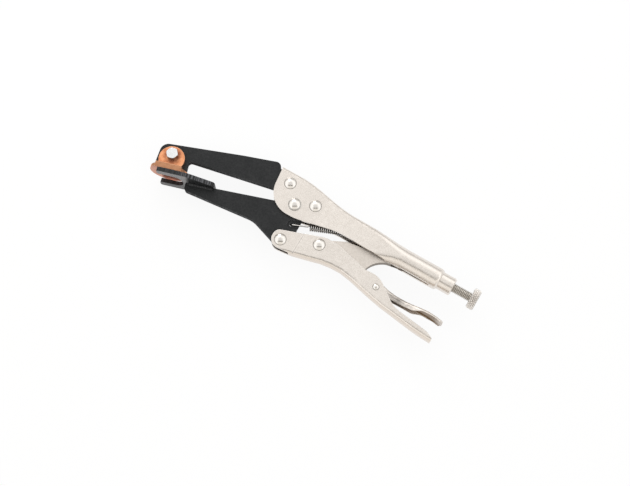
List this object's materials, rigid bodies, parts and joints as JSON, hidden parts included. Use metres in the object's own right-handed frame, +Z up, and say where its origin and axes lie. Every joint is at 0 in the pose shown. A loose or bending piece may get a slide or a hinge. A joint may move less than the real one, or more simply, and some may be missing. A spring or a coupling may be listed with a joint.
{
  "type": "locking plug weld pliers",
  "caption": "Locking pliers with long plate jaws: a bolted copper backing pad faces a U-shaped fork, shut by a toggle handle with adjusting screw and release lever.",
  "frame": {"origin": "middle of the copper pad's working face", "axes": "+X along the adjusting screw towards its knob, +Y from the lower handle to the upper handle, +Z up across the jaw plates"},
  "size_m": [0.3194, 0.0764, 0.037],
  "materials": {
    "nickel_handle": "satin nickel plate",
    "nickel_link": "satin nickel plate, slightly duller",
    "nickel_knob": "knurled nickel plate",
    "black_jaw": "satin black",
    "copper": "bare copper",
    "zinc_fastener": "bright zinc",
    "rivet_steel": "bright nickel plate",
    "spring_wire": "dark spring wire",
    "screw_steel": "dull steel thread"
  },
  "bodies": {
    "frame": {"upper_handle": "nickel_handle", "upper_jaw": "black_jaw", "upper_jaw_rivet_front": "rivet_steel", "upper_jaw_rivet_rear": "rivet_steel", "jaw_pivot_rivet": "rivet_steel", "backing_pad": "copper", "pad_bolt": "zinc_fastener", "pad_lock_washer": "zinc_fastener", "pad_nut": "zinc_fastener", "screw_bush": "nickel_handle", "jaw_spring": "spring_wire"},
    "jaw": {"lower_jaw": "black_jaw", "plug_fork": "black_jaw"},
    "handle": {"lower_handle": "nickel_handle", "handle_pivot_rivet": "rivet_steel", "link_rivet": "rivet_steel", "release_lever_rivet": "rivet_steel"},
    "link": {"toggle_link": "nickel_link"},
    "lever": {"release_lever": "nickel_handle"},
    "screw": {"adjusting_screw": "screw_steel"},
    "knob": {"screw_knob": "nickel_knob"}
  },
  "joints": [
    {"name": "jaw_open", "type": "hinge", "parent": "frame", "child": "jaw", "pos_m": [0.1159, 0.03148, 0], "axis": [0, 0, 1], "range_deg": [0, 12], "deforming": ["jaw_spring"]},
    {"name": "handle_swing", "type": "hinge", "parent": "jaw", "child": "handle", "pos_m": [0.1217, -0.00342, 0], "axis": [0, 0, 1], "range_deg": [-40.95, 0]},
    {"name": "link_swing", "type": "hinge", "parent": "handle", "child": "link", "pos_m": [0.1544, 0.00988, 0], "axis": [0, 0, 1], "range_deg": [0, 44.25]},
    {"name": "release_press", "type": "hinge", "parent": "handle", "child": "lever", "pos_m": [0.2175, 0.00158, 0], "axis": [0, 0, 1], "range_deg": [-6, 0]},
    {"name": "screw_advance", "type": "slide", "parent": "frame", "child": "screw", "axis": [1, 0, 0], "range_m": [0, 0.012]},
    {"name": "knob_turn", "type": "hinge", "parent": "screw", "child": "knob", "pos_m": [0.2969, 0.03748, 0], "axis": [1, 0, 0], "range_deg": [0, 3060]}
  ],
  "couplings": [
    {"joint": "handle_swing", "follows": "jaw_open", "ratio": -3.4091},
    {"joint": "link_swing", "follows": "jaw_open", "ratio": 3.6825},
    {"joint": "knob_turn", "follows": "screw_advance", "rad_per_m": 4188.8}
  ]
}
